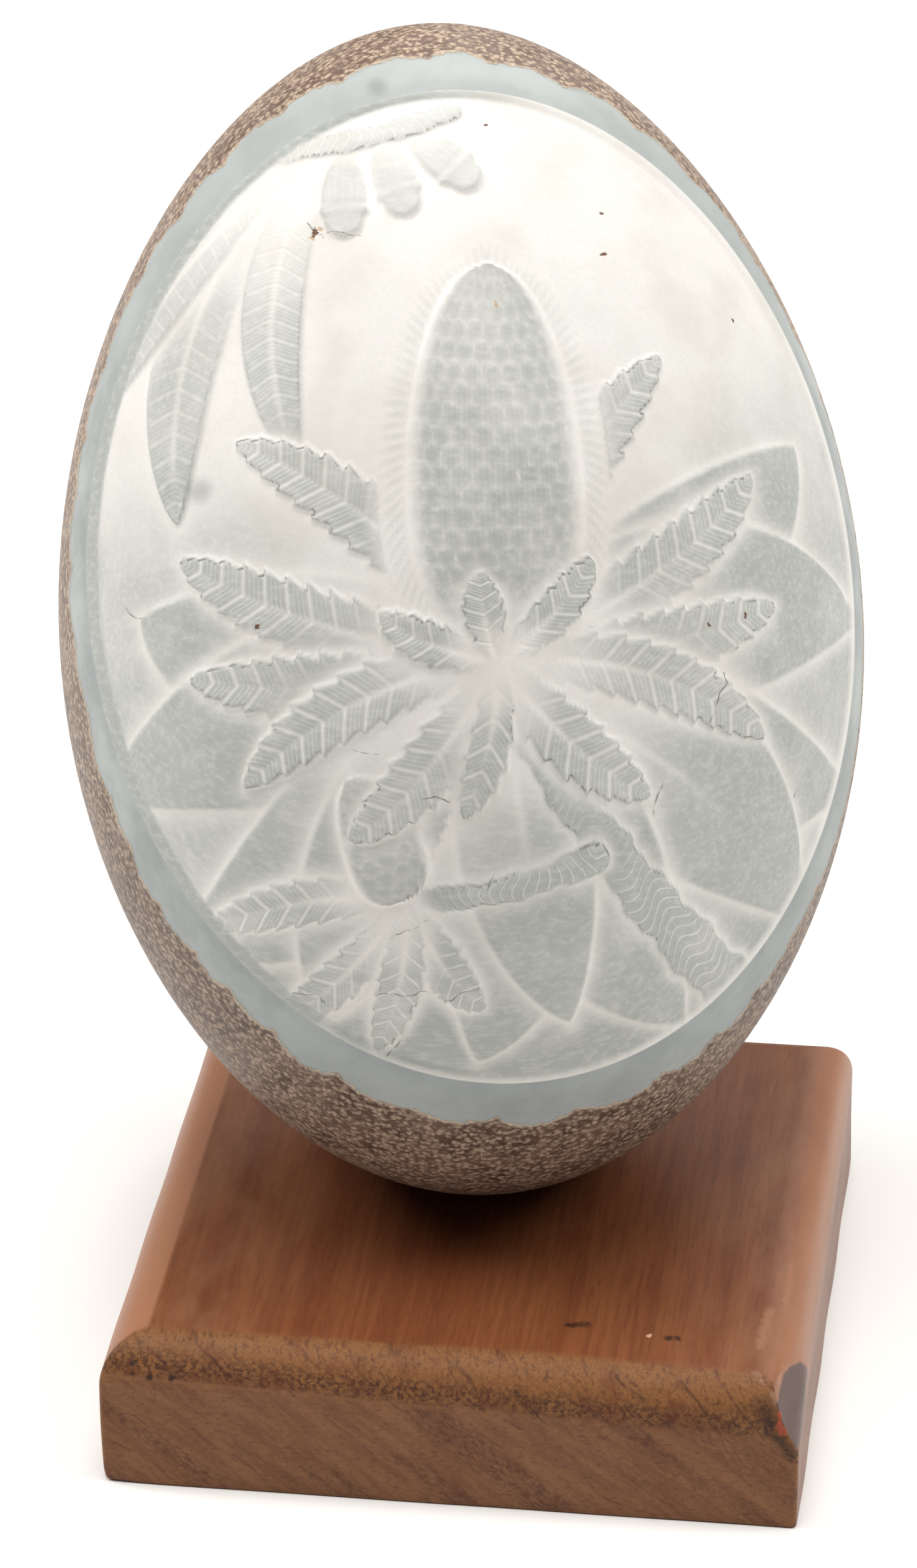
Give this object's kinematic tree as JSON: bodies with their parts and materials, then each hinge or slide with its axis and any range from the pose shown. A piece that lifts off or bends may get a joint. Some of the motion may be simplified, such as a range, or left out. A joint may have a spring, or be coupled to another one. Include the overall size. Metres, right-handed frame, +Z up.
{
  "type": "carved emu egg on a wooden base",
  "caption": "Large dark-shelled egg, relief-carved inside an oval on its front, leaning back on a low wooden block with rounded top edges.",
  "frame": {"origin": "middle of the block's flat underside", "axes": "+Z up, -Y towards the front, the side that the oval carving faces, +X to the right as seen from the front"},
  "size_m": [0.0868, 0.0943, 0.1438],
  "materials": {
    "eggshell": "Eggshell: glossy, pebbled mauve-brown outer shell with cream flecks, cut away in a ragged edge to a dull blue-grey layer, and inside the oval to matt grey-green and white carved layers.",
    "hardwood": "Reddish-brown hardwood with a thin satin varnish, worn and stained at the edges, with the end grain on the front."
  },
  "bodies": {
    "root": {"emu_egg": "eggshell", "wood_base": "hardwood"}
  },
  "joints": []
}
